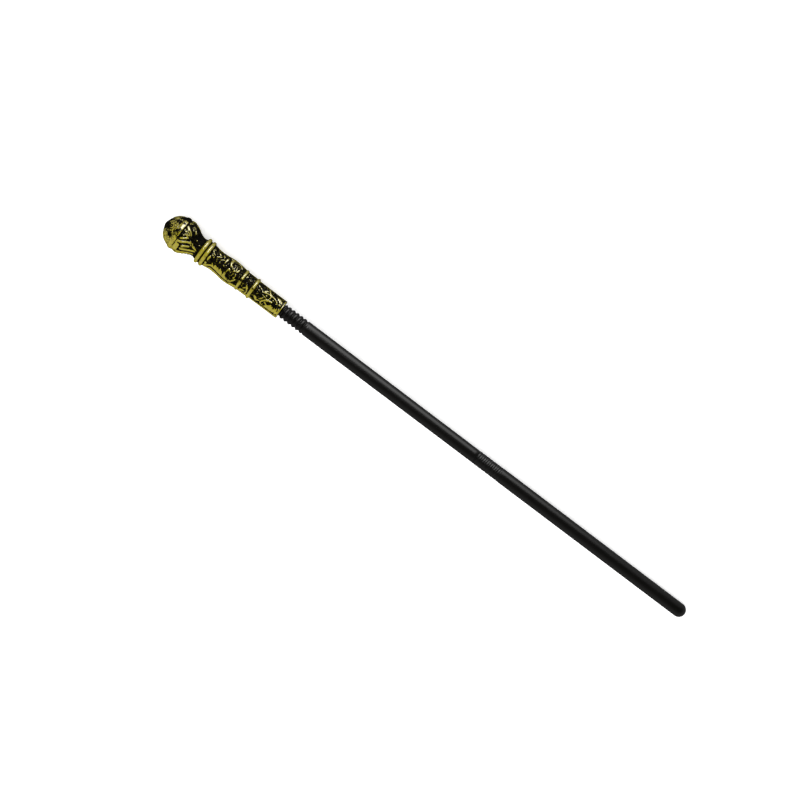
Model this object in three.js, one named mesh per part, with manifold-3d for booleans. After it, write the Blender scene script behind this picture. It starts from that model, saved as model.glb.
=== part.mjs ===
// A sceptre of black moulded plastic with gold rubbed over its carving. A ball-headed handle sits on a
// shaft of two tubes that push together. Millimetres, +Z up. It lies on the flat spots under its ball
// and under its round tip, with the ball toward -X and the tip toward +X.
//
// Every piece is first turned about its own axis. A place on it is a distance along the axis from the
// ball's end, and a turn in degrees about the axis, from the top toward -Y.
import * as THREE from "three";
import Module from "manifold-3d";
import { mergeVertices } from "three/addons/utils/BufferGeometryUtils.js";

// Driving dimensions, mm
const LENGTH = 900; // ball's end to round tip
const BALL_RADIUS = 25.5;
const TIP_RADIUS = 10;
const HANDLE_LENGTH = 200.4;
const LOWER_TUBE_START = 538;
const FLAT_SPOT_DEPTH = 0.35; // cut off under the ball and under the tip, so that it doesn't roll

// Handle
const CAP_RADIUS = 24.5; // the cap is a little slimmer than the belt that runs round the ball
const CAP_START = 0.7; // a button on the pole stands out by this much
const BUTTON_RADIUS = 6;
const BELT_END = 28.2; // above this the ball is round, and below it leaves run to the neck
const OUTLINE = [
  // the turned outline below the ball: [distance, radius], with the beads left out
  [BELT_END, 24.8],
  [33.3, 25.3],
  [36.1, 24.7],
  [41.6, 22.4],
  [49.9, 17.8],
  [56.9, 15.5],
  [66, 17.3],
  [73.5, 17.7],
  [77.7, 16.6],
  [88, 15.3],
  [97, 15.7],
  [109.5, 17.05],
  [116.5, 16.9],
  [123.4, 16.1],
  [134.5, 14.9],
  [147, 14.75],
  [154, 14.1],
  [HANDLE_LENGTH, 13.9],
];
const BELT = [24.3, 4.1, BALL_RADIUS];
const BEADS = [
  // raised half-round rings, as the belt is: [middle, half width, radius]
  [64.4, 2.7, 20],
  [71.8, 2.5, 19.6],
  [131.7, 1.8, 16.3],
  [151.2, 2.2, 16.3],
];
const GROOVE = { middle: BELT_END, halfWidth: 1.4, depth: 1.2 }; // between the belt and the leaves
const SOCKET_DEPTH = 30;
const HANDLE_SIDES = 44;

// Shaft
const SPIGOT_RADIUS = 9.2; // of the plain spigot inside the handle
const THREAD_PITCH = 6.65;
const THREAD_RADIUS = 10.4;
const THREAD_DEPTH = 2.1;
const THREAD_FIRST_CREST = 207.4; // on the top of the tube
const THREAD_END = 243.5;
const UPPER_RADII = [10.15, 9.85]; // the upper tube tapers from the thread to the lower tube
const INNER_SPIGOT_RADIUS = 8.2;
const INNER_SPIGOT_LENGTH = 28;
const COLLAR_END = 580;
const COLLAR_RADIUS = 10.15;
const COLLAR_PITCH = 6.32;
const COLLAR_RELIEF = 0.6;
const COLLAR_FIRST_GROOVE = 541.5;
const FIT_GAP = 0.35; // round and under each spigot
const TUBE_SIDES = 18;

const { clamp, smoothstep, lerp } = THREE.MathUtils;
const radians = THREE.MathUtils.degToRad;
const steps = (from, to, count) =>
  Array.from({ length: count + 1 }, (_, i) => lerp(from, to, i / count));

// ---- turned outlines ----

// A smooth curve through [distance, radius] points that doesn't swing past them.
function smoothRadius(points, s) {
  const last = points.length - 1;
  const slope = (i) => {
    if (i === 0 || i === last) return 0;
    const before = (points[i][1] - points[i - 1][1]) / (points[i][0] - points[i - 1][0]);
    const after = (points[i + 1][1] - points[i][1]) / (points[i + 1][0] - points[i][0]);
    return before * after > 0 ? (2 * before * after) / (before + after) : 0;
  };
  const next = clamp(points.findIndex(([at]) => at >= s), 1, last);
  const [s0, r0] = points[next - 1];
  const [s1, r1] = points[next];
  const span = s1 - s0;
  const t = clamp((s - s0) / span, 0, 1);
  return (
    r0 * (1 + 2 * t) * (1 - t) ** 2 +
    slope(next - 1) * span * t * (1 - t) ** 2 +
    r1 * t * t * (3 - 2 * t) +
    slope(next) * span * t * t * (t - 1)
  );
}

// How much a half-round bead adds to the radius under it.
function beadRise(s, radius, [middle, halfWidth, top]) {
  const off = (s - middle) / halfWidth;
  return Math.abs(off) < 1 ? (top - radius) * Math.sqrt(1 - off * off) : 0;
}

// The ball's cap, which is egg-shaped, with a flat cone for the button on its pole.
function capRadius(s) {
  const egg = clamp((s - CAP_START) / (BALL_RADIUS - CAP_START), 0, 1);
  const button = BUTTON_RADIUS * Math.sqrt(clamp(s / (2 * CAP_START), 0, 1));
  return Math.max(CAP_RADIUS * Math.sqrt(egg * (2 - egg)), button);
}

function handleRadius(s) {
  let radius = s < BELT_END ? capRadius(s) : smoothRadius(OUTLINE, s);
  for (const bead of [BELT, ...BEADS]) radius += beadRise(s, radius, bead);
  const off = Math.abs(s - GROOVE.middle) / GROOVE.halfWidth;
  return radius - GROOVE.depth * smoothstep(1 - off, 0, 0.8);
}

// ---- carving: each shape gives 0 on the ground and 1 on its top ----

const CAP_DEPTH = 0.7;
const LEAF_DEPTH = 1;
const GROUND_DEPTH = 0.8; // of the grip and the barrels
const BALL_LEAVES = 6;
const LEAF_STEP = 360 / BALL_LEAVES;
const LEAF_MIDDLE = -5; // turn of the leaf that faces up
const GRIP_RADIUS = 16;
const BARREL_RADIUS = 14;

// Signed turn from the nearest of the ball's leaf middles, and which leaf that is.
function nearestLeaf(turn) {
  const count = Math.round((turn - LEAF_MIDDLE) / LEAF_STEP);
  return { off: turn - LEAF_MIDDLE - count * LEAF_STEP, isLong: Math.abs(count % 2) === 1 };
}

// Six petals on the ball's cap, with a gap between each two.
function petalCarving(s, turn) {
  const toEdge = radians(LEAF_STEP / 2 - Math.abs(nearestLeaf(turn).off)) * handleRadius(s);
  return smoothstep(toEdge, 0, 3.5);
}

// Leaves from the ball's belt to the neck: every second one is short, and the others are long and fluted.
function leafCarving(s, turn) {
  const { off, isLong } = nearestLeaf(turn);
  const end = isLong ? 56 : 47;
  const halfTurn = (LEAF_STEP / 2) * Math.sqrt(clamp((end - s) / (end - 32), 0, 1));
  const toEdge = radians(halfTurn - Math.abs(off)) * handleRadius(s);
  const flute = isLong ? 0.5 * smoothstep(s, 37, 43) * (0.5 + 0.5 * Math.cos(radians(off * 12))) : 0;
  return smoothstep(toEdge, -0.5, 2.5) * (1 - flute);
}

// A leaf or a plain stroke from its root to its end. fullness is 1 for a pointed leaf and 0 for a stroke.
function blade(radius, [s0, turn0], [s1, turn1], width, fullness) {
  const root = new THREE.Vector2(s0, radians(turn0) * radius);
  const along = new THREE.Vector2(s1, radians(turn1) * radius).sub(root);
  const length = along.length();
  along.normalize();
  return (s, turn) => {
    const place = new THREE.Vector2(s, radians(turn) * radius).sub(root);
    const t = clamp(place.dot(along) / length, 0, 1);
    const half = (width / 2) * lerp(1, Math.sin(Math.PI * t ** 0.63), fullness);
    const away = place.distanceTo(along.clone().multiplyScalar(t * length));
    return smoothstep(half - away, -1, 1.2);
  };
}

// A round medallion: a raised rim with a boss in the middle.
function medallion(radius, [s0, turn0], size) {
  return (s, turn) => {
    const out = Math.hypot(s - s0, radians(turn - turn0) * radius);
    const rim = smoothstep(2.4 - Math.abs(out - size), 0, 2);
    return Math.max(rim, smoothstep(3.2 - out, 0, 2.4));
  };
}

const CARVING = [
  // grip, from the double bead to the belly
  blade(GRIP_RADIUS, [79, -46], [79, -20], 4, 0),
  blade(GRIP_RADIUS, [79, 0], [79, 26], 5, 1),
  blade(GRIP_RADIUS, [87, -18], [94, -44], 5, 0),
  blade(GRIP_RADIUS, [107, 12], [85, 46], 11, 1),
  medallion(GRIP_RADIUS, [115, -40], 6.4),
  medallion(GRIP_RADIUS, [115, 22], 6.4),
  blade(GRIP_RADIUS, [76, 76], [129, 76], 8, 0),
  // short barrel
  blade(BARREL_RADIUS, [138, -44], [143, -26], 4, 0),
  blade(BARREL_RADIUS, [146, 4], [137, 50], 7, 1),
  // long barrel
  blade(BARREL_RADIUS, [158, -46], [163, -10], 6, 1),
  medallion(BARREL_RADIUS, [172, -12], 5),
  medallion(BARREL_RADIUS, [184, -12], 5),
  medallion(BARREL_RADIUS, [170, 34], 5),
  blade(BARREL_RADIUS, [180, 10], [196, 50], 11, 1),
  blade(BARREL_RADIUS, [156, 78], [198, 78], 6, 0),
];

// How far the handle's surface lies under its outline. The grip and barrels repeat after half a turn.
function handleRelief(s, turn) {
  if (s < 20) {
    const inside = smoothstep(s, 3, 7) * smoothstep(20 - s, 0, 2.5);
    return -CAP_DEPTH * inside * (1 - petalCarving(s, turn));
  }
  if (s < 32) return 0;
  if (s < 57) return -LEAF_DEPTH * smoothstep(57 - s, 0, 4) * (1 - leafCarving(s, turn));
  const isBead = BEADS.some(([middle, halfWidth]) => Math.abs(s - middle) < halfWidth + 0.5);
  if (isBead || s < 75 || s > HANDLE_LENGTH - 2) return 0;
  const half = turn - 180 * Math.round(turn / 180);
  return -GROUND_DEPTH * (1 - Math.max(...CARVING.map((shape) => shape(s, half))));
}

// ---- the thread and the ribbed collar ----

// 1 on a crest and 0 at a root of a helix whose crest crosses the tube's top at firstCrest.
function helix(s, turn, firstCrest, pitch) {
  const turns = (s - firstCrest) / pitch + turn / 360;
  return 0.5 + 0.5 * Math.cos(2 * Math.PI * turns);
}

function threadRelief(s, turn) {
  if (s > THREAD_END) return 0;
  const start = smoothstep(s, HANDLE_LENGTH, HANDLE_LENGTH + 3);
  const end = smoothstep(THREAD_END - s, 0, 3);
  const height = helix(s, turn, THREAD_FIRST_CREST, THREAD_PITCH) ** 1.3;
  return lerp(UPPER_RADII[0] - THREAD_RADIUS, -THREAD_DEPTH * (1 - start * height), end);
}

function collarRelief(s, turn) {
  const inside = smoothstep(s, LOWER_TUBE_START, LOWER_TUBE_START + 1) * smoothstep(COLLAR_END - s, 0, 2);
  return -COLLAR_RELIEF * inside * helix(s, turn, COLLAR_FIRST_GROOVE, COLLAR_PITCH) ** 4;
}

// ---- solids ----

// A closed solid turned from [distance, radius] points that start and end on the axis. The relief moves
// its outer wall. Points no wider than the bore or spigot stay plain.
function turned(profile, sides, relief, plainRadius) {
  const geometry = new THREE.LatheGeometry(profile.map(([s, r]) => new THREE.Vector2(r, s)), sides);
  const position = geometry.getAttribute("position");
  for (let i = 0; i < position.count; i++) {
    const [s, radius] = profile[i % profile.length];
    const side = Math.floor(i / profile.length) % sides;
    const turn = (360 * side) / sides - (side > sides / 2 ? 360 : 0);
    const wide = radius + (radius > plainRadius ? relief(s, turn) : 0);
    position.setXYZ(i, s, -wide * Math.sin(radians(turn)), wide * Math.cos(radians(turn)));
  }
  geometry.deleteAttribute("normal");
  geometry.deleteAttribute("uv");
  return mergeVertices(geometry, 1e-3);
}

function handleGeometry() {
  const across = ([middle, halfWidth], parts) => parts.map((part) => middle + part * halfWidth);
  const distances = [
    ...[0, CAP_START],
    ...steps(20, 75, 6).map((angle) => BALL_RADIUS * (1 - Math.cos(radians(angle)))),
    ...across(BELT, [-0.6, 0, 0.6]),
    GROOVE.middle,
    ...steps(GROOVE.middle + GROOVE.halfWidth, 59, 10),
    ...across(BEADS[0], [-1, -0.7, 0, 0.7, 1]),
    ...across(BEADS[1], [-1, -0.7, 0, 0.7, 1]),
    ...steps(76, 128.5, 18),
    ...across(BEADS[2], [-1, -0.6, 0.6, 1]),
    ...steps(134, 147.2, 5),
    ...across(BEADS[3], [-1, -0.6, 0.6, 1]),
    ...steps(154, HANDLE_LENGTH - 2, 13),
    HANDLE_LENGTH,
  ];
  const bore = SPIGOT_RADIUS + FIT_GAP;
  const floor = HANDLE_LENGTH - SOCKET_DEPTH;
  const profile = [
    ...distances.map((s) => [s, handleRadius(s)]),
    [HANDLE_LENGTH, bore],
    [floor, bore],
    [floor, 0],
  ];
  return turned(profile, HANDLE_SIDES, handleRelief, bore);
}

function upperTubeGeometry() {
  const top = HANDLE_LENGTH - SOCKET_DEPTH + FIT_GAP;
  const shoulder = LOWER_TUBE_START - FIT_GAP;
  const profile = [
    [top, 0],
    [top, SPIGOT_RADIUS],
    [HANDLE_LENGTH, SPIGOT_RADIUS],
    ...steps(HANDLE_LENGTH + 1, THREAD_END, 32).map((s) => [s, THREAD_RADIUS]),
    [THREAD_END + 1, UPPER_RADII[0]],
    [shoulder, UPPER_RADII[1]],
    [shoulder, INNER_SPIGOT_RADIUS],
    [shoulder + INNER_SPIGOT_LENGTH, INNER_SPIGOT_RADIUS],
    [shoulder + INNER_SPIGOT_LENGTH, 0],
  ];
  return turned(profile, TUBE_SIDES, threadRelief, SPIGOT_RADIUS);
}

function lowerTubeGeometry() {
  const bore = INNER_SPIGOT_RADIUS + FIT_GAP;
  const floor = LOWER_TUBE_START + INNER_SPIGOT_LENGTH + FIT_GAP;
  const tipMiddle = LENGTH - TIP_RADIUS;
  const roundTip = steps(18, 90, 4).map((angle) => [
    tipMiddle + TIP_RADIUS * Math.sin(radians(angle)),
    angle < 90 ? TIP_RADIUS * Math.cos(radians(angle)) : 0,
  ]);
  const profile = [
    [floor, 0],
    [floor, bore],
    [LOWER_TUBE_START, bore],
    ...steps(LOWER_TUBE_START, COLLAR_END, 20).map((s) => [s, COLLAR_RADIUS]),
    [tipMiddle, TIP_RADIUS],
    ...roundTip,
  ];
  return turned(profile, TUBE_SIDES, collarRelief, bore);
}

// ---- how it lies ----

const SPAN = LENGTH - BALL_RADIUS - TIP_RADIUS; // ball's middle to the middle of the round tip
const TILT = Math.asin((BALL_RADIUS - TIP_RADIUS) / SPAN);
const HALF_SPREAD = (BALL_RADIUS + SPAN * Math.cos(TILT) + TIP_RADIUS) / 2;

// Turns a piece from its axis to where the sceptre lies, centred along X, with its flat spots at z = 0.
const LYING = new THREE.Matrix4()
  .makeTranslation(BALL_RADIUS - HALF_SPREAD, 0, BALL_RADIUS - FLAT_SPOT_DEPTH)
  .multiply(new THREE.Matrix4().makeRotationY(TILT))
  .multiply(new THREE.Matrix4().makeTranslation(-BALL_RADIUS, 0, 0));

const wasm = await Module();
wasm.setup();

function solid(geometry) {
  return new wasm.Manifold(
    new wasm.Mesh({
      numProp: 3,
      vertProperties: geometry.getAttribute("position").array,
      triVerts: new Uint32Array(geometry.index.array),
    }),
  );
}

// Cuts off what reaches below the surface that the sceptre lies on, which leaves a small flat spot.
function cutFlatSpot(geometry) {
  const slab = new THREE.BoxGeometry(1.2 * LENGTH, 100, 20).translate(0, 0, -10);
  slab.deleteAttribute("normal");
  slab.deleteAttribute("uv");
  const mesh = solid(geometry).subtract(solid(mergeVertices(slab, 1e-3))).getMesh();
  return new THREE.BufferGeometry()
    .setAttribute("position", new THREE.BufferAttribute(mesh.vertProperties, 3))
    .setIndex(new THREE.BufferAttribute(mesh.triVerts, 1));
}

const giltPlastic = new THREE.MeshStandardMaterial({ color: "#8f8638", roughness: 0.35, metalness: 0.6 });
const blackPlastic = new THREE.MeshStandardMaterial({ color: "#151515", roughness: 0.38, metalness: 0 });

function piece(name, geometry, material) {
  geometry.computeVertexNormals();
  const mesh = new THREE.Mesh(geometry, material);
  mesh.name = name;
  return mesh;
}

const sceptre = new THREE.Group();
sceptre.add(piece("handle", cutFlatSpot(handleGeometry().applyMatrix4(LYING)), giltPlastic));
sceptre.add(piece("upper_tube", upperTubeGeometry().applyMatrix4(LYING), blackPlastic));
sceptre.add(piece("lower_tube", cutFlatSpot(lowerTubeGeometry().applyMatrix4(LYING)), blackPlastic.clone()));

export default sceptre;
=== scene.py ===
# A sceptre of black moulded plastic with gold rubbed over its carved handle, lying on a pale floor.
#
# Each piece is modelled in millimetres round its own straight axis, which runs along X from the ball's end.
# A place on it is a distance s along that axis and a turn in degrees about it, from the top toward -Y.
# lay_down() then moves the finished mesh, in metres, to where the frame's pieces lie.
import math

import bmesh
import bpy
import numpy as np
from mathutils import Matrix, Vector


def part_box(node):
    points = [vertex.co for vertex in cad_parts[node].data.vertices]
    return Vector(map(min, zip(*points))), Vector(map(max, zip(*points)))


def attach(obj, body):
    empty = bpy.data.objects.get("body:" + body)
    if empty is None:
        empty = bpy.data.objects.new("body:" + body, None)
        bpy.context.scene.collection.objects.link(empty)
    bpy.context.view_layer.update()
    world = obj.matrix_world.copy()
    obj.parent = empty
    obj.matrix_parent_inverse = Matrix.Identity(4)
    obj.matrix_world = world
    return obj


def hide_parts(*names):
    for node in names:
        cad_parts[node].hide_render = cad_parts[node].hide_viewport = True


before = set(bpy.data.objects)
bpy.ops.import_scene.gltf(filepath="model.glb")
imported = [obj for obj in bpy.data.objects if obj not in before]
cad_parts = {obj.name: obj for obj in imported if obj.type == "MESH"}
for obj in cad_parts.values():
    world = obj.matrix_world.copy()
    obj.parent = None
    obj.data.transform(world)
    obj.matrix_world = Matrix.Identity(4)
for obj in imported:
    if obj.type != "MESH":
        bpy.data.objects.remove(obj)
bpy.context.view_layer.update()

MM = 0.001

# ---- sizes, mm ----

LENGTH = 900.0
BALL_RADIUS = 25.5
TIP_RADIUS = 10.0
HANDLE_LENGTH = 200.4
LOWER_TUBE_START = 538.0
FLAT_SPOT_DEPTH = 0.35

CAP_RADIUS = 24.5
CAP_START = 0.7
BUTTON_RADIUS = 6.0
BELT_END = 28.2
OUTLINE = [  # below the ball: (distance, radius), with the beads left out
    (BELT_END, 24.8), (33.3, 25.3), (36.1, 24.7), (41.6, 22.4), (49.9, 17.8), (56.9, 15.5),
    (66, 17.3), (73.5, 17.7), (77.7, 16.6), (88, 15.3), (97, 15.7), (109.5, 17.05),
    (116.5, 16.9), (123.4, 16.1), (134.5, 14.9), (147, 14.75), (154, 14.1), (HANDLE_LENGTH, 13.9),
]
BELT = (24.3, 4.1, BALL_RADIUS)  # half-round rings: (middle, half width, radius)
BELT_GOLD = (23.4, 3.1)  # the gold on the belt stops short of its lower flank: (middle, half width)
BEADS = [(64.4, 2.7, 20.0), (71.8, 2.5, 19.6), (131.7, 1.8, 16.3), (151.2, 2.2, 16.3)]
END_ROUND = 0.7
CHAMFER = 0.3  # on the mouth of the handle's socket and the start of the lower tube
SOCKET_DEPTH = 30.0
FIT_GAP = 0.35

SPIGOT_RADIUS = 9.2
THREAD_PITCH = 6.65
THREAD_RADIUS = 10.4
THREAD_DEPTH = 2.1
THREAD_FIRST_CREST = 207.4
THREAD_END = 243.5
UPPER_RADII = (10.15, 9.85)
INNER_SPIGOT_RADIUS = 8.2
INNER_SPIGOT_LENGTH = 28.0
COLLAR_END = 580.0
COLLAR_RADIUS = 10.15
COLLAR_PITCH = 6.32
COLLAR_RELIEF = 0.6
COLLAR_FIRST_GROOVE = 541.5

# The handle's mesh, by its sides round the axis and its steps along the outline, is finer on the ball than on
# the grip. It changes over between the double beads.
BALL_SIDES, BALL_STEP = 300, 0.54
GRIP_SIDES, GRIP_STEP = 190, 0.55
CHANGE_OVER = 68.0
TUBE_SIDES = 96
SHAFT_STEPS = 60
RIB_STEP = 0.38  # along the thread and the collar


# ---- curves and outlines ----

def smooth(x, low, high):
    """0 below low, 1 above high, with a soft ramp between."""
    t = np.clip((x - low) / (high - low), 0, 1)
    return t * t * (3 - 2 * t)


def smooth_radius(points, s):
    """A smooth curve through (distance, radius) points that doesn't swing past them."""
    at, radius = np.array(points, float).T
    span = np.diff(at)
    grade = np.diff(radius) / span
    before, after = grade[:-1], grade[1:]
    slope = np.zeros(len(at))
    slope[1:-1] = np.where(before * after > 0, 2 * before * after / (before + after + 1e-12), 0)
    i = np.clip(np.searchsorted(at, s) - 1, 0, len(span) - 1)
    t = np.clip((s - at[i]) / span[i], 0, 1)
    ends = radius[i] * (1 + 2 * t) * (1 - t) ** 2 + radius[i + 1] * t * t * (3 - 2 * t)
    return ends + span[i] * (slope[i] * t * (1 - t) ** 2 + slope[i + 1] * t * t * (t - 1))


def cap_radius(s):
    """The outline of the cap: half an egg, with a low button on its pole."""
    egg = np.clip((s - CAP_START) / (BALL_RADIUS - CAP_START), 0, 1)
    button = BUTTON_RADIUS * np.sqrt(np.clip(s / (2 * CAP_START), 0, 1))
    return np.maximum(CAP_RADIUS * np.sqrt(egg * (2 - egg)), button)


def plain_radius(s):
    """The handle's outline without its belt and beads."""
    return np.where(s < BELT_END, cap_radius(s), smooth_radius(OUTLINE, s))


def handle_radius(s):
    """The handle's outline with its belt and beads."""
    radius = plain_radius(s)
    for middle, half_width, top in [BELT, *BEADS]:
        across = np.sqrt(np.clip(1 - ((s - middle) / half_width) ** 2, 0, 1))
        radius = radius + (top - radius) * across
    return radius


# distances along the axis, and the length of the outline up to each
RULER = np.linspace(0, HANDLE_LENGTH, 4000)
RULED_LENGTH = np.concatenate([[0], np.cumsum(np.hypot(np.diff(RULER), np.diff(plain_radius(RULER))))])


# ---- carving ----

SKIRT = 0.35  # how far a carved edge spreads at its foot, mm
SIDE_SLOPE = 0.5  # the part of a shape's half width that its side slopes over
VEINED_WIDTH = 4.5  # leaves wider than this have veins
VEIN_SPACING = 2.2
PATH_STEPS = 7  # from each point of a path to the next


class Carving:
    """A carved surface as heights from 0, the ground, to 1, the top, at places given by distance and turn.
    Shapes are laid on the skin in millimetres: down along the outline and across round the axis."""

    def __init__(self, s, turn):
        self.s, self.turn = s, turn
        self.down, self.across = self.on_skin(s, turn)
        self.height = np.zeros(len(s))

    @staticmethod
    def on_skin(s, turn):
        s, turn = np.asarray(s, float), np.asarray(turn, float)
        return np.interp(s, RULER, RULED_LENGTH), np.radians(turn) * plain_radius(s)

    def around(self, points, reach):
        """The places near some points on the skin."""
        low, high = points.min(0) - reach, points.max(0) + reach
        down, across = self.down, self.across
        return np.nonzero((down > low[0]) & (down < high[0]) & (across > low[1]) & (across < high[1]))[0]

    def raise_to(self, near, height):
        self.height[near] = np.maximum(self.height[near], height)

    def path(self, points):
        """A smooth line through (s, turn) points, as points on the skin."""
        fixed = np.stack(self.on_skin(*np.array(points, float).T), axis=1)
        if len(fixed) < 3:
            return fixed
        padded = np.vstack([2 * fixed[0] - fixed[1], fixed, 2 * fixed[-1] - fixed[-2]])
        t = np.linspace(0, 1, PATH_STEPS, endpoint=False)[:, None]
        path = [
            0.5 * (2 * b + (c - a) * t + (2 * a - 5 * b + 4 * c - d) * t**2 + (3 * b - a - 3 * c + d) * t**3)
            for a, b, c, d in zip(padded, padded[1:], padded[2:], padded[3:])
        ]
        return np.vstack([*path, fixed[-1:]])

    def along(self, near, path):
        """How far each place is from a path, and how far along the path from 0 to 1 it lies."""
        place = np.stack([self.down[near], self.across[near]], 1)
        away = np.full(len(near), np.inf)
        share = np.zeros(len(near))
        lengths = np.hypot(*np.diff(path, axis=0).T)
        starts = np.concatenate([[0], np.cumsum(lengths)])
        for a, b, length, start in zip(path, path[1:], lengths, starts):
            if length < 1e-6:
                continue
            k = np.clip((place - a) @ (b - a) / length**2, 0, 1)
            distance = np.hypot(*(place - a - k[:, None] * (b - a)).T)
            closer = distance < away
            away[closer] = distance[closer]
            share[closer] = (start + k[closer] * length) / starts[-1]
        return away, share

    def wind(self, path, width, end_width, height=1.0):
        """A round band along a path, as wide as width where it starts."""
        near = self.around(path, width / 2 + SKIRT)
        away, share = self.along(near, path)
        reach = (width + (end_width - width) * share) / 2 + SKIRT
        self.raise_to(near, height * smooth(1 - away / reach, 0, SIDE_SLOPE))

    def stem(self, points, width, end_width=None, height=1.0):
        """A round stem that may thin toward its end."""
        self.wind(self.path(points), width, end_width or width, height)

    def leaf(self, points, width, lobes=0, height=1.0):
        """A pointed leaf from its root to its tip, crowned, with veins and perhaps a lobed edge."""
        path = self.path(points)
        near = self.around(path, width / 2 + SKIRT)
        away, share = self.along(near, path)
        half = width / 2 * np.sin(math.pi * np.clip(share, 0.02, 1) ** 0.65) ** 0.8
        if lobes:
            half = half * (1 + 0.25 * np.cos(2 * math.pi * (lobes * share - 0.3)))
        crown = smooth(1 - away / (half + SKIRT), 0, SIDE_SLOPE)
        if width > VEINED_WIDTH:
            wave = np.cos(2 * math.pi * (share * width * (lobes + 1) - away) / VEIN_SPACING)
            veins = 0.35 * (0.5 + 0.5 * wave) * smooth(away, 0.3, 1.0)
            midrib = 0.25 * np.exp(-(away / 0.5) ** 2)
            crown = crown * (1 - veins - midrib)
        self.raise_to(near, height * crown)

    def scroll(self, place, radius, turns, start, width, height=1.0, hand=1):
        """A volute that winds in to an eye. start is the direction of its mouth in degrees."""
        middle = self.path([place])[0]
        t = np.linspace(0, 1, 28)
        angle = np.radians(start) + hand * 2 * math.pi * turns * t
        size = radius * (1 - 0.8 * t)
        path = middle + np.stack([size * np.cos(angle), size * np.sin(angle)], 1)
        self.wind(path, width, 0.7 * width, height)
        self.boss(place, 0.45 * width + 0.3, height)

    def from_middle(self, place, reach):
        """The places round a middle, how far each is from it, and in which direction."""
        middle = self.path([place])
        near = self.around(middle, reach)
        down, across = self.down[near] - middle[0, 0], self.across[near] - middle[0, 1]
        return near, np.hypot(down, across), np.arctan2(across, down)

    def boss(self, place, radius, height=1.0):
        """A round bump."""
        near, away, _ = self.from_middle(place, radius + SKIRT)
        self.raise_to(near, height * smooth(1 - away / (radius + SKIRT), 0, SIDE_SLOPE))

    def pit(self, place, radius):
        """A drilled round hollow."""
        near, away, _ = self.from_middle(place, radius)
        self.height[near] *= 1 - smooth(1 - away / radius, 0, 0.7)

    def cut(self, points, width, depth=1.0):
        """A groove whose ends fade out."""
        path = self.path(points)
        near = self.around(path, width)
        away, share = self.along(near, path)
        fade = smooth(np.sin(math.pi * share), 0, 0.4)
        self.height[near] *= 1 - depth * fade * np.exp(-(2 * away / width) ** 2)

    def medallion(self, place, radius):
        """A round sunk panel in a thin raised rim, with a flower of low bumps in it."""
        near, away, direction = self.from_middle(place, radius + 1)
        self.height[near] *= smooth(away - radius, -0.3, 0.6)
        self.raise_to(near, 0.46 * smooth(1 - np.abs(away - radius), 0, 0.7))
        petal_tips = radius * (0.5 + 0.16 * np.cos(6 * direction))
        petals = smooth(petal_tips - away, 0, 1.2) * smooth(away, 0.8, 1.6)
        self.raise_to(near, 0.42 * petals)
        self.boss(place, 1.0, 0.5)


def hammered(s, turn):
    """Low uneven lumps on the ground between the shapes, in a pattern that closes round the axis."""
    angle = np.radians(turn)
    lumps = np.sin(44 * angle + 1.4 * np.sin(1.1 * s)) * np.sin(2.3 * s + 1.5 * np.sin(10 * angle))
    return 0.3 * smooth(lumps, 0.1, 1)


CURL_GAP = 4.3  # between the small curls that fill the ground


def fill_with_curls(carving, first, last):
    """Low curls wherever the ground is still bare. They wind one way and the other by turns."""
    for row, s in enumerate(np.arange(first, last, CURL_GAP * 0.87)):
        step = math.degrees(CURL_GAP / float(plain_radius(s)))
        for column, turn in enumerate(np.arange(-88 + step / 2 * (row % 2), 90, step)):
            near, _, _ = carving.from_middle((s, turn), 1.4)
            if len(near) and carving.height[near].max() < 0.3:
                start = 67 * row + 131 * column
                height = 0.35 + 0.07 * math.sin(2.1 * row + 1.3 * column)
                carving.scroll((s, turn), 1.7, 1.1, start, 1.0, height, hand=(-1) ** column)


# The ball has six petals on its cap, and below its belt three pairs of a short and a long leaf, which all
# lean one way.
PETALS = 6
PETALS_END = 20.4
PETAL_MIDDLE = -5.0  # turn of the petal that faces up
LEAF_PAIRS = 3
LEAF_PAIR_MIDDLE = 20.0  # turn near the middle of the pair that faces up


def carve_petal(cap):
    """One of the petals, which runs from the rosette on the pole to the belt. Arches are cut across it."""
    half_step = 180 / PETALS
    inside = np.radians(half_step) * plain_radius(cap.s) - np.abs(cap.across)
    cap.height[:] = smooth(inside, 0.1, 1.1) * smooth(cap.s, 3.4, 5)
    for s, drop in ((6.4, 1.2), (9, 1.6), (11.6, 1.8), (14.2, 1.8), (16.8, 1.6), (19, 0.6)):
        bow = s - drop * (cap.turn / half_step) ** 2
        arch = np.exp(-((cap.s - bow) / 0.5) ** 2) * (0.5 + 0.5 * np.sin(cap.turn * 0.7 + 2.6 * s))
        cap.height *= 1 - 0.55 * arch
    for side in (-1, 1):
        cap.cut([(11, side * half_step), (15, side * 0.98 * half_step), (19, side * half_step)], 2.4)
        cap.pit((13.6, side * 22), 1.5)
        cap.pit((17.4, side * 24), 1.3)
    for s, turn, radius in (
        (7.2, -16, 1.2), (8.2, 14, 1.5), (10.6, -4, 1.6), (12.4, -15, 1.2), (12.6, 10, 1.2),
        (14.6, -11, 1), (15.2, 18, 1), (15.4, -3, 1.1), (17.6, -19, 1.3), (17.6, 12, 1.6),
        (19.2, -9, 0.9), (19.4, 3, 1.1),
    ):
        cap.pit((s, turn), radius)
    cap.leaf([(1.4, 0), (4.2, 0)], 5.0, height=0.45)
    cap.boss((0, 0), 3.2, 0.4)


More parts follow.
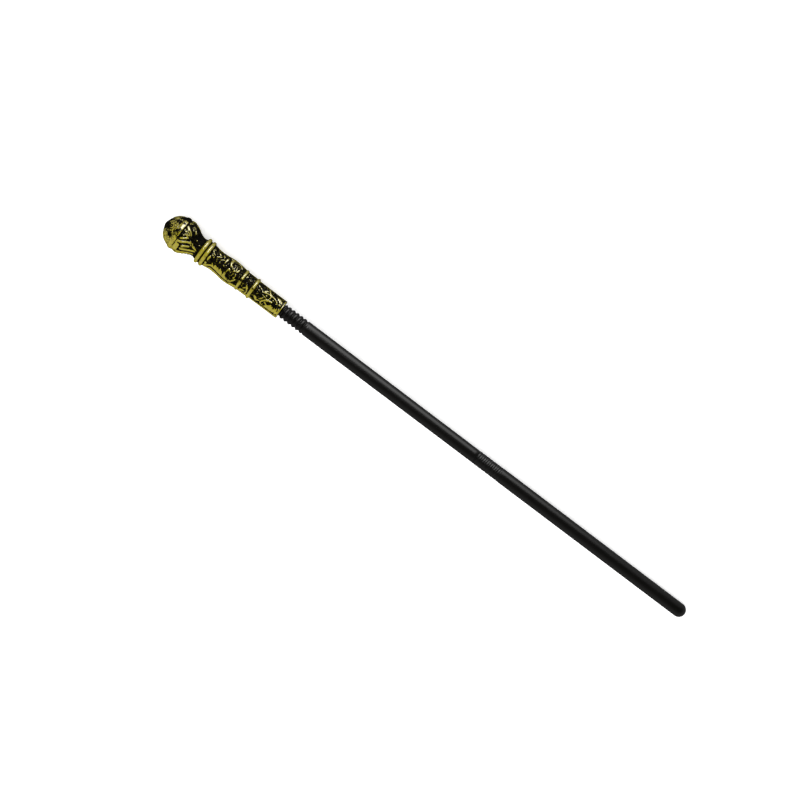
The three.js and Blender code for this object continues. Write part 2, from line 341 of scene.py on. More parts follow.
def carve_leaf_pair(leaves):
    """A short leaf that curls up in a scroll, between turns -40 and 25, and a long fluted one beside it."""
    leaves.leaf([(30, -2), (36, -3), (43, -2), (49, 6)], 20, lobes=3, height=0.3)
    leaves.leaf([(29.6, -20), (33, -20), (38.5, -19)], 12, height=0.42)
    # the scroll at the short leaf's shoulder
    leaves.leaf([(29.4, -37), (31.6, -31), (33.8, -25.5)], 5.0)
    leaves.stem([(33.5, -30), (36, -26.5), (38.6, -22.5), (40.4, -16.5)], 1.7, 1.3)
    leaves.boss((31.4, -16.5), 1.7)
    leaves.stem([(34.4, -20), (37.4, -17), (38.2, -12.5), (36, -10.5), (34.6, -13)], 1.2, 1.0)
    leaves.stem([(33, -8.5), (36.2, -6.5), (38.8, -3.6)], 1.4, 1.0)
    leaves.stem([(30, -4), (32.4, -2)], 1.3, height=0.7)
    # its lower edge: two rolls that lean up
    leaves.stem([(30.8, 11), (34.8, 5), (39.4, -3.6)], 3.0, 1.6)
    leaves.stem([(28.8, 24), (34.6, 19.5), (40.3, 11), (45, 7)], 4.2, 2.6)
    leaves.cut([(30.4, 18.5), (35.4, 11.5), (40.6, 3)], 1.9, 1.1)
    # the long leaf: a plain shoulder, and rolls with deep flutes between them
    leaves.stem([(31.4, 36), (31.6, 45), (31, 56), (31, 66)], 7.6)
    leaves.stem([(38.6, 33.5), (42, 28), (46.4, 23)], 4.0, 2.2)
    leaves.stem([(38.6, 46), (45.4, 43), (52.3, 38), (56.4, 33)], 4.6, 2.4)
    leaves.stem([(38.2, 68), (42, 67), (49, 62), (56, 56)], 5.6, 2.6)
    leaves.cut([(36, 62), (33.4, 70), (31.4, 77)], 2.4, 1.1)
    leaves.leaf([(50.2, 15), (53.5, 18), (58, 25)], 3.2)
    # pearls and small curls down to the neck
    leaves.stem([(44.6, 1), (46.2, 6)], 1.3)
    leaves.stem([(48.4, 5), (49.8, 10.5)], 1.3)
    leaves.stem([(46.8, 12), (48.4, 16)], 1.2, height=0.85)
    leaves.stem([(37, -50), (40, -54), (44, -60)], 1.6, 1.2)
    leaves.stem([(32, -58), (35, -56), (37.2, -48)], 1.8, height=0.9)
    leaves.stem([(33.5, -46), (37.2, -43), (39.2, -37)], 1.3, height=0.8)
    leaves.stem([(40.6, -50), (42.2, -44), (44.2, -37)], 1.5)
    leaves.stem([(44.2, -47), (46.6, -42), (48, -36)], 1.2, height=0.8)
    leaves.boss((50.6, -21), 0.9)
    leaves.boss((57, -9), 0.7, height=0.8)


def carve_ball(s, turn):
    """Heights on the ball and its neck."""
    height = np.zeros(len(s))
    for count in range(PETALS):
        near = (turn - PETAL_MIDDLE - 360 * count / PETALS + 180) % 360 - 180
        inside = (s < PETALS_END) & (np.abs(near) <= 180 / PETALS + 6)
        patch = Carving(s[inside], near[inside])
        carve_petal(patch)
        height[inside] = np.maximum(height[inside], patch.height)
    for count in range(LEAF_PAIRS):
        near = (turn - LEAF_PAIR_MIDDLE - 360 * count / LEAF_PAIRS + 180) % 360 - 180 + LEAF_PAIR_MIDDLE
        inside = (s >= 28) & (s < 60) & (near > -70) & (near < 100)
        patch = Carving(s[inside], near[inside])
        carve_leaf_pair(patch)
        height[inside] = np.maximum(height[inside], patch.height)
    # the groove under the belt is filled on the side where the long leaf's shoulder meets it
    filled = smooth(turn, 14, 30) * smooth(110 - turn, 0, 20) * smooth(31 - s, 0, 1) * smooth(s, 25.6, 26.8)
    return np.maximum(height, 0.56 * filled)


def carve_grip(grip):
    """From the double bead to the belly: curls and acanthus on a sunk ground, and two dark medallions."""
    grip.stem([(79, -46), (77, -37), (79, -26), (82, -20)], 1.2, 1.0)
    grip.boss((82.3, -19), 0.9, 0.8)
    grip.leaf([(78.5, -14), (83, -4)], 2.4, height=0.62)
    grip.leaf([(78.3, -1), (77.4, 13), (78, 27)], 2.8)
    grip.leaf([(77.2, 36), (78, 52)], 3.4)
    grip.leaf([(85.6, -17), (89, -27), (92.6, -37)], 1.8)
    grip.leaf([(86, -50), (88, -43), (90.4, -42)], 2.2, height=0.75)
    grip.leaf([(92, -16), (95, -25), (97.6, -32)], 1.7, height=0.72)
    grip.leaf([(92.5, -56), (94.5, -47), (95.5, -38)], 2.8, height=0.75)
    grip.leaf([(100.6, -50), (99.8, -34), (99.8, -15)], 2.8)
    for s, turn, radius in ((93.5, -3, 0.8), (100.6, -2, 1.0), (82.8, -7, 0.7), (88, -8, 0.6)):
        grip.boss((s, turn), radius, 0.8)
    # the stem across the belly, with a ring at its fork
    grip.stem([(108.4, -60), (106.8, -46), (107.4, -34), (109.4, -22)], 2.4)
    grip.stem([(109, -6), (108.4, 8), (107.6, 24)], 1.6, height=0.66)
    grip.leaf([(107.6, -48), (108.8, -34), (111.4, -19)], 4.8)
    grip.pit((109.3, -37), 1.3)
    grip.boss((109.6, -4), 1.8)
    # acanthus lobes that stand on the edge of the side band
    grip.stem([(82, 52), (86, 47), (92, 46), (100, 47), (112, 52)], 4.6)
    grip.leaf([(91, 50), (88, 36), (85.2, 22)], 3.0, height=0.7)
    grip.leaf([(96, 50), (93, 36), (90.3, 22)], 8.5)
    grip.leaf([(100, 50), (96.5, 36), (94.6, 24)], 8.0)
    grip.leaf([(103.4, 50), (101, 35), (99.4, 21)], 8.0)
    grip.leaf([(109.5, 53), (108, 34), (107.2, 16)], 6.4)
    grip.stem([(80, 58), (83.4, 44), (87.5, 34)], 1.5, 1.0)
    # medallions, and the frames round their outer sides
    grip.medallion((115.2, -41), 6.4)
    grip.medallion((115.4, 20), 6.8)
    grip.stem([(110.5, 42), (114, 49), (119, 46), (122.4, 34), (124.4, 20)], 1.8, 1.3)
    grip.stem([(105, -62), (111, -73), (118, -71), (123.6, -52)], 1.8)
    grip.boss((113.2, -16), 0.9, 0.8)
    grip.boss((116.5, -12), 1.5)
    grip.stem([(116.5, -12), (118.4, -18), (118.2, -26)], 1.2, height=0.8)
    grip.leaf([(120.4, -14), (121.4, -24), (121.8, -36)], 2.7)
    grip.stem([(121.2, -2), (121.9, 8), (121, 18)], 1.4, height=0.66)
    for s, turn in ((114.6, -28), (117.6, -33), (113.8, 10), (117.2, 6)):
        grip.stem([(s, turn - 6), (s, turn + 6)], 0.9, height=0.55)


def carve_short_barrel(barrel):
    """Between the two single beads: faint curls, and a forked leaf."""
    barrel.scroll((137, -33), 1.9, 1.0, 90, 1.0, height=0.47)
    barrel.scroll((142.3, -32), 2.2, 1.2, 0, 1.0, height=0.5)
    barrel.leaf([(142, 7), (145, 24), (147, 46)], 2.6)
    barrel.leaf([(143.5, 18), (141, 28), (139.5, 35)], 2.0, height=0.75)
    barrel.leaf([(136.5, 58), (140, 49), (144, 46)], 4.2)
    barrel.stem([(146.4, 48), (145.4, 62)], 1.7)


def carve_long_barrel(barrel):
    """From the last bead to the handle's end: a stem round two cells, a swirl and a lobed leaf."""
    barrel.leaf([(155, -38), (159.5, -34), (165, -20)], 2.6, height=0.56)
    barrel.leaf([(167.3, -28), (169.6, -38), (172.2, -47)], 2.8, height=0.85)
    round_the_cells = [
        (165, -19), (169, -23), (173, -29), (178, -31), (184.5, -28),
        (188.5, -20), (190.5, -12), (188.6, -3), (184.5, 1), (178, 3.5),
    ]
    barrel.stem(round_the_cells, 1.4)
    barrel.stem([(178, 3), (174, 2), (170, -2), (167, -3)], 1.1, 0.9, height=0.7)
    barrel.boss((177.8, -31), 1.9)
    barrel.stem([(177, -34), (174, -46), (171.5, -64)], 1.6)
    barrel.stem([(178, -28), (178.8, -14), (177.8, 2)], 1.1, height=0.8)
    barrel.boss((172.6, -13), 1.0)
    barrel.boss((183.8, -13), 1.0)
    barrel.leaf([(188.5, -46), (192.5, -37), (197, -27)], 6.6, lobes=2, height=0.9)
    barrel.leaf([(198, -20), (195, -13), (191, -6)], 3.6, height=0.5)
    barrel.leaf([(170.2, 9), (168.6, 18), (165.8, 31)], 2.4, height=0.85)
    barrel.leaf([(158.5, 30), (161.3, 38), (162.8, 51)], 4.4)
    barrel.leaf([(163.4, 52), (165, 43), (168.5, 39)], 2.6)
    swirl = [(185, 0), (178.5, 5), (175.2, 12), (172, 25), (170.3, 38), (172, 52), (176.5, 56)]
    barrel.stem(swirl, 2.3, 1.7)
    barrel.stem([(175, 25), (178.6, 31), (180.5, 38)], 1.4)
    barrel.leaf([(178, 52), (187, 42), (197, 30)], 10.5, lobes=3)
    barrel.leaf([(184, 48), (184.8, 30), (185, 13)], 7.4)
    barrel.leaf([(191, 48), (191.6, 34), (191, 18)], 6.6)
    barrel.leaf([(181, 34), (187, 28), (195, 26)], 5.0)
    barrel.leaf([(195.5, 42), (195.2, 28), (194.2, 12)], 4.0)
    barrel.cut([(188, 8), (189.6, 18), (190.6, 30)], 2.2)
    barrel.pit((196.2, 24), 1.3)
    barrel.stem([(197, 8), (198.1, 20), (197.6, 38), (195, 54)], 1.6)


def half_turn(turn):
    """The grip's pattern repeats after half a turn, as the two halves of its mould are alike."""
    return turn - 180 * np.round(turn / 180)


BAND_LINES = [  # grooves along the edge of the plain band on each side
    [(79.5, 74), (82, 66), (85, 57), (88, 54), (93, 55),
     (97, 58), (104, 60), (111, 62), (118, 65), (122, 61)],
    [(154, 67), (165, 64), (175, 62), (186, 62), (198, 64)],
]


def carve_body(s, turn):
    """Heights below the ball's neck."""
    half = half_turn(turn)
    height = np.zeros(len(s))
    for carve, first, last in (
        (carve_grip, 75, 130.6),
        (carve_short_barrel, 134, 149),
        (carve_long_barrel, 154, 198.4),
    ):
        inside = (s >= first) & (s < last)
        patch = Carving(s[inside], half[inside])
        carve(patch)
        fill_with_curls(patch, first + 2, last - 1)
        height[inside] = np.maximum(height[inside], patch.height)
    body = Carving(s, half)
    # the plain band reaches from the line past the middle of the side, and is rougher beyond that
    near_side = smooth(half - np.where(s < 130, 53, 61), 0, 3)
    far_side = 0.48 * smooth(-half, 62, 70)
    ground = hammered(s, turn) * smooth(s, 75, 76.5)
    band = np.maximum(near_side, far_side) * smooth(s, 75.5, 77)
    body.height = np.maximum(np.maximum(height, ground), band)
    for line in BAND_LINES:
        body.cut(line, 3.3, 1.4)
    for notch in np.arange(107.5, 120, 1.5):
        body.cut([(notch, 54), (notch + 1.2, 62)], 0.9, 0.6)
    return body.height


GROUND_DEPTH = [  # from the top of the carving down to its ground, and 0 at the rings: (distance, depth)
    (0, 0.2), (5, 0.75), (19.5, 0.8), (20.8, 0), (26, 0), (27.4, 1.2), (30.4, 1.2), (48, 1.1),
    (59, 0.3), (61, 0), (74.3, 0), (76, 0.9), (129.2, 0.9), (129.9, 0), (133.5, 0), (134.5, 0.7),
    (148.3, 0.7), (149, 0), (153.4, 0), (154.4, 0.75), (198.2, 0.75), (198.8, 0), (HANDLE_LENGTH, 0),
]


# Most of these are specks where the gold is worn through. Those at the top of the belt and the beads, near
# turn 0, are partly wear and partly painted shade: the dark band that the ceiling puts along the tops in
# reflections. Those near turn -60 on the ball and its neck darken its edge on the key's side.
WORN_AND_SHADED_SPOTS = [  # places with less gold: (s, turn, radius, how much less gold)
    (3, 0, 5, 0.4), (5, -42, 3, 0.2), (9, 9, 4.2, 0.22), (14.5, 26, 3.2, 0.26), (16.5, -36, 2.6, 0.4),
    (17, -57, 3.4, 0.35), (20.8, -3, 2, 0.35), (22.2, 9, 4.4, 0.2), (22.5, -64, 5.5, 0.8),
    (23, -35, 2.2, 0.35), (23.5, -9, 2.4, 0.38), (31, -62, 7, 0.42), (40, -57, 5.5, 0.36),
    (45, -62, 5, 0.7), (52, -54, 6.5, 0.8), (131.7, 4, 2.2, 0.75), (151.2, 2, 1.5, 0.6),
    (187.5, 3, 3.2, 0.8),
]


def rubbing(s, turn, height):
    """How much gold is rubbed on, from 0 on the ground to 1 on the tops. The material puts the edge of the
    gold at about a half, so the cap and the belt, which stay near that, are worn through in specks. Round the
    listed places gold is taken away. Along the tops of the belt and the beads, that is painted shade."""
    # the bands on the sides were rubbed harder
    rubbed = 0.88 * height + 0.16 * smooth(half_turn(turn), 40, 70)
    on_cap = 0.62 * height + 0.12 * smooth(turn, 30, 60) * smooth(150 - turn, 0, 60)
    rubbed = np.where(s < PETALS_END, on_cap, rubbed)
    rubbed = np.where((s >= PETALS_END) & (s < BELT_END) & (height < 0.4), 0, rubbed)
    rings = [(*BELT_GOLD, 0.68)] + [(middle, half_width, 1.0) for middle, half_width, _ in BEADS]
    for middle, half_width, most in rings:
        rubbed = np.maximum(rubbed, most * smooth(half_width - np.abs(s - middle), -0.6, 0.6))
    rubbed = np.maximum(rubbed, smooth(s, HANDLE_LENGTH - 2.1, HANDLE_LENGTH - 1.3))
    # takes gold away round the listed places: worn specks, and painted shade along the tops of the belt and
    # the beads
    for at, middle, radius, less_gold in WORN_AND_SHADED_SPOTS:
        away = np.hypot(s - at, np.radians((turn - middle + 180) % 360 - 180) * plain_radius(s))
        rubbed = rubbed - less_gold * smooth(1.6 - away / radius, 0, 1.2)
    return np.clip(rubbed, 0, 1)


# ---- meshes ----

def turned(name, *runs):
    """A closed mesh spun from (distance, radius) points that start and end on the axis. They come in runs,
    each with its own number of sides."""
    bm = bmesh.new()
    for profile, sides in runs:
        verts = [bm.verts.new((s, 0, r)) for s, r in profile]
        edges = [bm.edges.new(pair) for pair in zip(verts, verts[1:])]
        bmesh.ops.spin(bm, geom=verts + edges, cent=(0, 0, 0), axis=(1, 0, 0), angle=2 * math.pi,
                       steps=sides, use_merge=True)
    bmesh.ops.remove_doubles(bm, verts=bm.verts[:], dist=1e-4)
    # one run's last ring is joined to the next run's first
    open_rings = [edge for edge in bm.edges if edge.is_boundary]
    if open_rings:
        bmesh.ops.bridge_loops(bm, edges=open_rings)
    bmesh.ops.recalc_face_normals(bm, faces=bm.faces[:])
    for face in bm.faces:
        face.smooth = True
    mesh = bpy.data.meshes.new(name)
    bm.to_mesh(mesh)
    bm.free()
    piece = bpy.data.objects.new(name, mesh)
    bpy.context.scene.collection.objects.link(piece)
    return piece


def read_skin(mesh):
    """Each vertex's distance, turn and radius."""
    co = np.empty(len(mesh.vertices) * 3)
    mesh.vertices.foreach_get("co", co)
    s, y, z = co.reshape(-1, 3).T
    return s, np.degrees(np.arctan2(-y, z)), np.hypot(y, z)


def write_skin(mesh, s, turn, radius):
    angle = np.radians(turn)
    co = np.stack([s, -radius * np.sin(angle), radius * np.cos(angle)], 1)
    mesh.vertices.foreach_set("co", co.ravel())
    mesh.update()


def store(mesh, name, values):
    """Keeps one number a vertex for the material to read."""
    attribute = mesh.attributes.new(name, "FLOAT", "POINT")
    attribute.data.foreach_set("value", values.astype(np.float32))


def even_steps(first, last, step, radius_at):
    """Distances from first to last that are evenly spaced along an outline."""
    fine = np.linspace(first, last, 6000)
    length = np.concatenate([[0], np.cumsum(np.hypot(np.diff(fine), np.diff(radius_at(fine))))])
    return np.interp(np.linspace(0, length[-1], int(length[-1] / step) + 1), length, fine)


SPAN = LENGTH - BALL_RADIUS - TIP_RADIUS
TILT = math.asin((BALL_RADIUS - TIP_RADIUS) / SPAN)
BALL_END_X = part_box("handle")[0].x
LYING = (
    Matrix.Translation((BALL_END_X + BALL_RADIUS * MM, 0, (BALL_RADIUS - FLAT_SPOT_DEPTH) * MM))
    @ Matrix.Rotation(TILT, 4, "Y")
    @ Matrix.Scale(MM, 4)
    @ Matrix.Translation((-BALL_RADIUS, 0, 0))
)


def lay_down(piece):
    """Moves a finished mesh to where it lies, and flattens what would reach below the floor."""
    piece.data.transform(LYING)
    for vertex in piece.data.vertices:
        vertex.co.z = max(vertex.co.z, 0)
    piece.data.update()


def make_handle():
    wall_end = HANDLE_LENGTH - END_ROUND
    ball_s = even_steps(0, CHANGE_OVER, BALL_STEP, handle_radius)
    grip_s = even_steps(CHANGE_OVER + GRIP_STEP, wall_end, GRIP_STEP, handle_radius)
    edge_radius = float(handle_radius(wall_end)) - END_ROUND
    rounded = [
        (wall_end + END_ROUND * math.sin(a), edge_radius + END_ROUND * math.cos(a))
        for a in np.linspace(0, math.pi / 2, 4)[1:]
    ]
    bore = SPIGOT_RADIUS + FIT_GAP
    floor = HANDLE_LENGTH - SOCKET_DEPTH
    socket = [(HANDLE_LENGTH, bore + CHAMFER), (HANDLE_LENGTH - CHAMFER, bore), (floor, bore), (floor, 0)]
    ball = list(zip(ball_s, handle_radius(ball_s)))
    grip = [*zip(grip_s, handle_radius(grip_s)), *rounded, *socket]
    piece = turned("handle_carved", (ball, BALL_SIDES), (grip, GRIP_SIDES))
    mesh = piece.data
    s, turn, radius = read_skin(mesh)
    outside = radius > handle_radius(s) - 0.05  # and not in the socket
    height = np.zeros(len(s))
    on_ball, on_body = outside & (s < CHANGE_OVER), outside & (s > CHANGE_OVER)
    height[on_ball] = carve_ball(s[on_ball], turn[on_ball])
    height[on_body] = carve_body(s[on_body], turn[on_body])
    store(mesh, "gilding", rubbing(s, turn, height) * outside)
    ground_depth = np.interp(s, *np.array(GROUND_DEPTH).T)
    moved = np.where(outside, ground_depth * (np.clip(height, 0, 1) - 1), 0)
    # on the cap the carving stands out from the ball's middle, and elsewhere from the axis
    on_cap = outside & (s < BALL_RADIUS)
    shrink = np.where(on_cap, 1 + moved / BALL_RADIUS, 1)
    s = np.where(on_cap, BALL_RADIUS + (s - BALL_RADIUS) * shrink, s)
    radius = np.where(on_cap, radius * shrink, radius + moved)
    write_skin(mesh, s, turn, radius)
    lay_down(piece)
    return piece


def helix(s, turn, first_crest, pitch):
    """1 on a crest and 0 at a root of a helix whose crest crosses the top at first_crest."""
    return 0.5 + 0.5 * np.cos(2 * math.pi * ((s - first_crest) / pitch + turn / 360))


def ridge(s, turn, first_crest, pitch):
    """The same as helix, with straight flanks between a blunt crest and a sharp root."""
    pitches = (s - first_crest) / pitch + turn / 360
    return np.minimum(1.4 * (1 - 2 * np.abs(pitches - np.round(pitches))), 1)


def parting_line(turn):
    """The fine ridge that a two-part mould leaves along each side."""
    return 0.06 * np.exp(-((np.abs(turn) - 90) / 1.6) ** 2)


def make_upper_tube():
    top = HANDLE_LENGTH - SOCKET_DEPTH + FIT_GAP
    shoulder = LOWER_TUBE_START - FIT_GAP
    thread = [(s, THREAD_RADIUS) for s in np.arange(HANDLE_LENGTH + 0.4, THREAD_END, RIB_STEP)]
    shaft_s = np.linspace(THREAD_END + 0.5, shoulder - 0.5, SHAFT_STEPS)
    shaft = [(s, np.interp(s, (THREAD_END, shoulder), UPPER_RADII)) for s in shaft_s]
    profile = [
        (top, 0), (top, SPIGOT_RADIUS), (HANDLE_LENGTH, SPIGOT_RADIUS), *thread, *shaft,
        (shoulder, UPPER_RADII[1] - 0.4), (shoulder, INNER_SPIGOT_RADIUS),
        (shoulder + INNER_SPIGOT_LENGTH, INNER_SPIGOT_RADIUS), (shoulder + INNER_SPIGOT_LENGTH, 0),
    ]
    piece = turned("upper_shaft", (profile, TUBE_SIDES))
    s, turn, radius = read_skin(piece.data)
    start = smooth(s, HANDLE_LENGTH, HANDLE_LENGTH + 3)
    end = smooth(THREAD_END - s, 0, 2)
    height = start * ridge(s, turn, THREAD_FIRST_CREST, THREAD_PITCH)
    after_thread = (UPPER_RADII[0] - THREAD_RADIUS) * (1 - end)
    moved = THREAD_DEPTH * (height - 1) * end + after_thread
    is_thread = (s > HANDLE_LENGTH + 0.1) & (s < THREAD_END)
    is_shaft = (s > THREAD_END) & (radius > UPPER_RADII[1] - 0.1)
    radius = radius + np.where(is_thread, moved, 0) + np.where(is_shaft, parting_line(turn), 0)
    write_skin(piece.data, s, turn, radius)
    lay_down(piece)
    return piece


def make_lower_tube():
    bore = INNER_SPIGOT_RADIUS + FIT_GAP
    floor = LOWER_TUBE_START + INNER_SPIGOT_LENGTH + FIT_GAP
    tip_middle = LENGTH - TIP_RADIUS
    collar_s = np.arange(LOWER_TUBE_START + CHAMFER, COLLAR_END, RIB_STEP)
    collar = [(s, COLLAR_RADIUS) for s in collar_s]
    shaft_s = np.linspace(COLLAR_END, tip_middle, SHAFT_STEPS)
    shaft = [(s, np.interp(s, (COLLAR_END, tip_middle), (COLLAR_RADIUS, TIP_RADIUS))) for s in shaft_s]
    tip = [
        (tip_middle + TIP_RADIUS * math.sin(a), TIP_RADIUS * math.cos(a))
        for a in np.linspace(0, math.pi / 2, 18)[1:-1]
    ]
    profile = [
        (floor, 0), (floor, bore), (LOWER_TUBE_START, bore), (LOWER_TUBE_START, COLLAR_RADIUS - CHAMFER),
        *collar, *shaft, *tip, (LENGTH, 0),
    ]
    piece = turned("lower_shaft", (profile, TUBE_SIDES))
    s, turn, radius = read_skin(piece.data)
    inside = smooth(s, LOWER_TUBE_START, LOWER_TUBE_START + 1) * smooth(COLLAR_END - s, 0, 2)
    groove = helix(s, turn, COLLAR_FIRST_GROOVE, COLLAR_PITCH) ** 6
    between = 0.45 * helix(s, turn, COLLAR_FIRST_GROOVE + COLLAR_PITCH / 2, COLLAR_PITCH) ** 8
    is_outside = radius > TIP_RADIUS - 0.2
    moved = -COLLAR_RELIEF * inside * (groove + between) + parting_line(turn) * (s > COLLAR_END)
    write_skin(piece.data, s, turn, radius + np.where(is_outside, moved, 0))
    lay_down(piece)
    return piece


# ---- materials ----

def colour(hex_code):
    """A linear RGBA colour from an sRGB hex code."""
    channels = [int(hex_code[i:i + 2], 16) / 255 for i in (1, 3, 5)]
    return [c / 12.92 if c <= 0.04045 else ((c + 0.055) / 1.055) ** 2.4 for c in channels] + [1]


def grains(size):
    """The scale of a noise whose grains are about this many millimetres across."""
    return 1 / (size * MM)


def add(tree, kind, settings=None, **links):
    """Adds a node. settings are its properties and unlinked inputs, and links are sockets to join to its
    inputs, each by the input's name, or by its number as i0, i1 and so on."""
    node = tree.nodes.new(kind)
    for key, value in (settings or {}).items():
        if isinstance(key, int) or key in node.inputs:
            node.inputs[key].default_value = value
        else:
            setattr(node, key, value)
    for key, socket in links.items():
        target = int(key[1:]) if key[0] == "i" and key[1:].isdigit() else key.replace("_", " ")
        tree.links.new(socket, node.inputs[target])
    return node


def new_material(name):
    material = bpy.data.materials.new(name)
    material.use_nodes = True
    tree = material.node_tree
    return material, tree, tree.nodes["Principled BSDF"]


def gilded_plastic():
    """Black ABS, moulded, under a matt black wash, with bronze powder in a clear lacquer rubbed over what
    stands up. The gold is satin under a gloss, a little uneven, ragged at the edges of the carving and worn
    in specks. The grain of the powder is drawn far coarser than it is, so that it shows."""
    material, tree, surface = new_material("gilded_black_abs")
    place = add(tree, "ShaderNodeTexCoord").outputs["Object"]
    rubbed = add(tree, "ShaderNodeAttribute", {"attribute_name": "gilding"}).outputs["Fac"]

    # where the gold is
    speckled = {"Scale": grains(2.2), "Detail": 4, "Roughness": 0.6}
    specks = add(tree, "ShaderNodeTexNoise", speckled, Vector=place)
    either_way = {"operation": "MULTIPLY_ADD", 1: 1.5, 2: -0.75}
    ragged = add(tree, "ShaderNodeMath", either_way, i0=specks.outputs[0])
    level = add(tree, "ShaderNodeMath", {"operation": "ADD"}, i0=rubbed, i1=ragged.outputs[0])
    edge = {"From Min": 0.42, "From Max": 0.58}
    gold = add(tree, "ShaderNodeMapRange", edge, Value=level.outputs[0]).outputs[0]

    # the gold's tones, with browned patches
    blotches = add(tree, "ShaderNodeTexNoise", {"Scale": grains(7), "Detail": 3}, Vector=place)
    fresh_tones = {"data_type": "RGBA", 6: colour("#7c720b"), 7: colour("#928816")}
    fresh = add(tree, "ShaderNodeMix", fresh_tones, i0=blotches.outputs[0])
    patches = add(tree, "ShaderNodeTexNoise", {"Scale": grains(3.4), "Detail": 3}, Vector=place)
    patchy = {"From Min": 0.5, "From Max": 0.68, "To Max": 0.6}
    browned = add(tree, "ShaderNodeMapRange", patchy, Value=patches.outputs[0])
    brown = {"data_type": "RGBA", 7: colour("#5e5208")}
    tone = add(tree, "ShaderNodeMix", brown, i0=browned.outputs[0], i6=fresh.outputs[2])

    # the wash, with a thin film of gold wiped along it
    lengthwise = add(tree, "ShaderNodeMapping", {"Scale": (0.3, 1, 1)}, Vector=place).outputs[0]
    wiped = add(tree, "ShaderNodeTexNoise", {"Scale": grains(1.8), "Detail": 4}, Vector=lengthwise)
    film = add(tree, "ShaderNodeMapRange", {"From Min": 0.5, "From Max": 0.7}, Value=wiped.outputs[0])
    wash_tones = {"data_type": "RGBA", 6: colour("#020201"), 7: colour("#1e1b08")}
    wash = add(tree, "ShaderNodeMix", wash_tones, i0=film.outputs[0])

    two_colours = {"data_type": "RGBA"}
    paint = add(tree, "ShaderNodeMix", two_colours, i0=gold, i6=wash.outputs[2], i7=tone.outputs[2])
    flakes = add(tree, "ShaderNodeMapRange", {"To Max": 0.06}, Value=gold)
    grain = add(tree, "ShaderNodeMapRange", {"To Min": 0.6, "To Max": 0.45}, Value=gold)
    fine = add(tree, "ShaderNodeTexNoise", {"Scale": grains(0.9), "Detail": 3}, Vector=place)
    bump = add(tree, "ShaderNodeBump", {"Strength": 0.25, "Distance": 0.1 * MM}, Height=fine.outputs[0])
    tree.links.new(paint.outputs[2], surface.inputs["Base Color"])
    tree.links.new(flakes.outputs[0], surface.inputs["Metallic"])
    tree.links.new(grain.outputs[0], surface.inputs["Roughness"])
    tree.links.new(gold, surface.inputs["Coat Weight"])
    tree.links.new(bump.outputs[0], surface.inputs["Normal"])
    surface.inputs["Coat Roughness"].default_value = 0.17
    surface.inputs["Specular IOR Level"].default_value = 0.008
    return material


def satin_plastic():
    """Black polypropylene, moulded, satin. A faint orange peel and rubs along the length break up its long
    highlight. Both are drawn coarser than they are, so that they show."""
    material, tree, surface = new_material("satin_black_polypropylene")
    place = add(tree, "ShaderNodeTexCoord").outputs["Object"]
    clouds = add(tree, "ShaderNodeTexNoise", {"Scale": grains(14), "Detail": 3}, Vector=place)
    tones = {"data_type": "RGBA", 6: colour("#040403"), 7: colour("#080706")}
    tone = add(tree, "ShaderNodeMix", tones, i0=clouds.outputs[0])
    drawn = add(tree, "ShaderNodeMapping", {"Scale": (0.06, 1, 1)}, Vector=place).outputs[0]
    streaky = {"Scale": grains(0.8), "Detail": 4, "Roughness": 0.6}
    rubs = add(tree, "ShaderNodeTexNoise", streaky, Vector=drawn)
    rough = add(tree, "ShaderNodeMapRange", {"To Min": 0.26, "To Max": 0.36}, Value=rubs.outputs[0])
    peel = add(tree, "ShaderNodeTexNoise", {"Scale": grains(1.2), "Detail": 3}, Vector=place)
    bump = add(tree, "ShaderNodeBump", {"Strength": 0.2, "Distance": 0.05 * MM}, Height=peel.outputs[0])
    tree.links.new(tone.outputs[2], surface.inputs["Base Color"])
    tree.links.new(rough.outputs[0], surface.inputs["Roughness"])
    tree.links.new(bump.outputs[0], surface.inputs["Normal"])
    surface.inputs["Specular IOR Level"].default_value = 0.12
    return material


# ---- the object ----

gilded = gilded_plastic()
satin = satin_plastic()
for piece, node, material, slot in (
    (make_handle(), "handle", gilded, "gilt_plastic"),
    (make_upper_tube(), "upper_tube", satin, "black_plastic"),
    (make_lower_tube(), "lower_tube", satin, "black_plastic"),
):
    piece.data.materials.append(material)
    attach(piece, "root")
    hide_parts(node)


# ---- floor, light and camera ----

FLOOR_REACH = 30.0  # from its middle to each edge, in metres


def make_floor():
    """A plain pale floor, which glows a little, as a light table does. It is left out of the reflections, as
    if it were covered with black card, so that the edges of the tubes stay dark."""
    bm = bmesh.new()
    bmesh.ops.create_grid(bm, x_segments=1, y_segments=1, size=FLOOR_REACH)
    mesh = bpy.data.meshes.new("floor")
    bm.to_mesh(mesh)
    bm.free()
    floor = bpy.data.objects.new("floor", mesh)
    floor.visible_glossy = False
    bpy.context.scene.collection.objects.link(floor)
    material, _, surface = new_material("matt_white_paper")
    surface.inputs["Base Color"].default_value = colour("#f4f4f4")
    surface.inputs["Emission Color"].default_value = colour("#ffffff")
    surface.inputs["Emission Strength"].default_value = 0.38
    surface.inputs["Roughness"].default_value = 0.9
    surface.inputs["Specular IOR Level"].default_value = 0.0
    mesh.materials.append(material)


def softbox(name, place, size, radiance, in_reflections=True, lights_matt=True):
    """A rectangular lamp that faces the sceptre. It may stay out of reflections, or make only them."""
    light = bpy.data.lights.new(name, "AREA")
    light.shape = "RECTANGLE"
    light.size, light.size_y = size
    light.energy = radiance * math.pi * size[0] * size[1]
    box = bpy.data.objects.new(name, light)
    box.visible_glossy = in_reflections
    box.visible_diffuse = lights_matt
    box.visible_camera = False
    bpy.context.scene.collection.objects.link(box)
    box.location = place
    box.rotation_euler = (-math.atan2(place[1], place[2]), 0, 0)


SKY = [  # (height of a direction from -1, down, to 1, up; brightness)
    (-0.9, 0.04), (-0.7, 0.12), (-0.3, 1.0), (0.34, 1.0), (0.77, 0.3), (0.94, 0.09), (1.0, 0.05),
]
SKY_UP = (0, 0.06, 0.998)  # the ceiling's darkest place leans a little toward the key


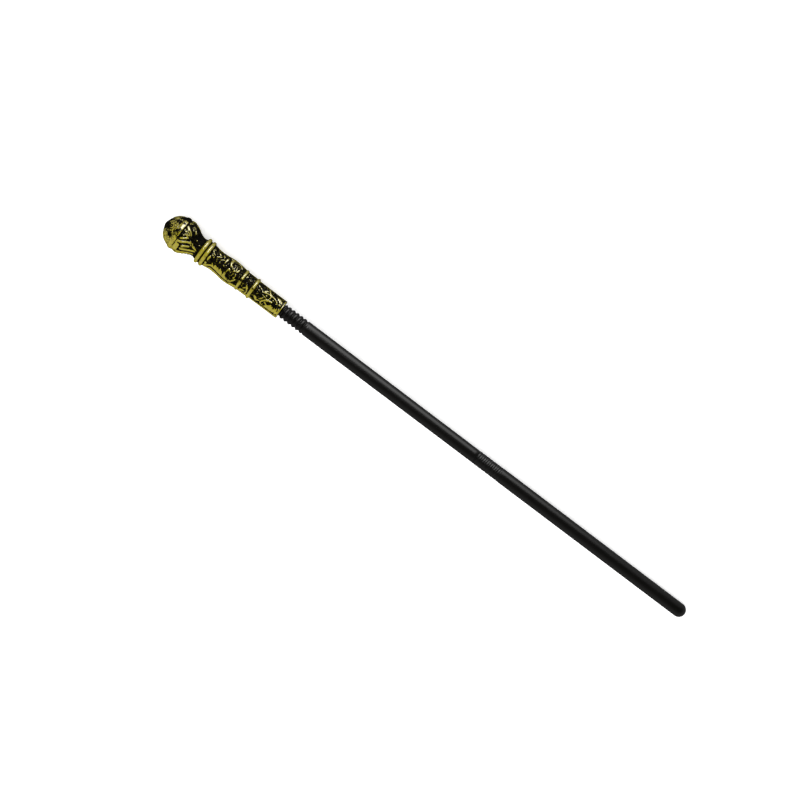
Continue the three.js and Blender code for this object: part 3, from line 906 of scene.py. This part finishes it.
def studio_sky():
    """Pale walls, a dark ceiling and dark below."""
    world = bpy.data.worlds.new("studio")
    world.use_nodes = True
    bpy.context.scene.world = world
    tree = world.node_tree
    direction = add(tree, "ShaderNodeTexCoord").outputs["Generated"]
    up = add(tree, "ShaderNodeVectorMath", {"operation": "DOT_PRODUCT", 1: SKY_UP}, i0=direction)
    level = add(tree, "ShaderNodeMapRange", {"From Min": -1, "From Max": 1}, Value=up.outputs["Value"])
    ramp = add(tree, "ShaderNodeValToRGB", Fac=level.outputs[0])
    stops = ramp.color_ramp.elements
    for count, (height, brightness) in enumerate(SKY):
        stop = stops[count] if count < 2 else stops.new(1)
        stop.position = (height + 1) / 2
        stop.color = [brightness] * 3 + [1]
    tree.links.new(ramp.outputs["Color"], tree.nodes["Background"].inputs["Color"])


CAMERA_HEIGHT = 4.5  # above the sceptre, in metres
SCEPTRE_HEIGHT = 0.018  # of its axis halfway along
VIEW_WIDTH = 1.1072  # what the camera sees from side to side at the sceptre's height, in metres
SENSOR = 36.0
ROLL = math.radians(37.05)  # the sceptre runs from upper left to lower right
AIM = (-0.0439, -0.0007)  # the place straight below the camera, in metres


def make_camera():
    """Looks straight down on the sceptre as it lies."""
    data = bpy.data.cameras.new("camera")
    data.sensor_width = SENSOR
    data.lens = SENSOR * CAMERA_HEIGHT / VIEW_WIDTH
    data.clip_end = 100
    camera = bpy.data.objects.new("camera", data)
    bpy.context.scene.collection.objects.link(camera)
    camera.location = (*AIM, CAMERA_HEIGHT + SCEPTRE_HEIGHT)
    camera.rotation_euler = (0, 0, ROLL)
    bpy.context.scene.camera = camera


make_floor()
studio_sky()
softbox("key_for_gold", (-0.63, 0.82, 0.82), (0.5, 1.55), 20.5, lights_matt=False)
softbox("key_for_tubes", (-0.05, 0.97, 0.61), (0.7, 0.95), 8, lights_matt=False)
softbox("over_the_floor", (0, -1.2, 2.8), (4.0, 4.0), 3.1, in_reflections=False)
make_camera()
bpy.context.scene.view_settings.view_transform = "Standard"
